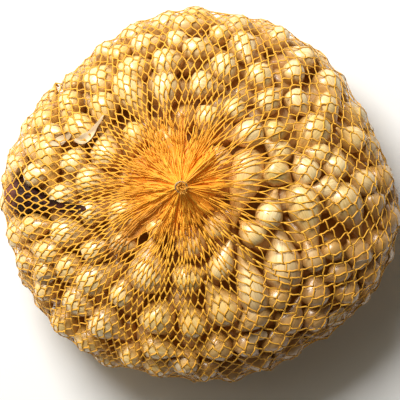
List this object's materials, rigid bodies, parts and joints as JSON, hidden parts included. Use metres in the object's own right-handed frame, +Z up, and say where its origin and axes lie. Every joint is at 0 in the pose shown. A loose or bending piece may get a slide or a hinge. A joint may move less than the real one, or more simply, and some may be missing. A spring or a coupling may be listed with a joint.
{
  "type": "bag of onion sets",
  "caption": "Round golden knitted net bag packed with small pale onion sets, drawn together on top into pleats and closed with a metal clip.",
  "frame": {"origin": "middle of the sealed foot of the net, on the surface that the bag stands on", "axes": "+Z up out of the gathered mouth, +X along the widest way across the bag, +Y away from the viewer with the dark bulb on the left"},
  "size_m": [0.2085, 0.1951, 0.102],
  "materials": {
    "onion_skin": "thin dry satin onion skins, pale cream with faint veins, some greenish or tan",
    "net": "golden yellow knitted plastic net, slightly shiny, deeper orange where it is gathered",
    "clip_metal": "plain crimped aluminium, slightly dull",
    "withered_skin": "dark maroon to black withered onion skin, wrinkled, with a few pinkish patches"
  },
  "bodies": {
    "root": {"netted_bulbs": "onion_skin", "gathered_mouth": "net", "neck_clip": "clip_metal", "dark_bulb": "withered_skin"}
  },
  "joints": []
}
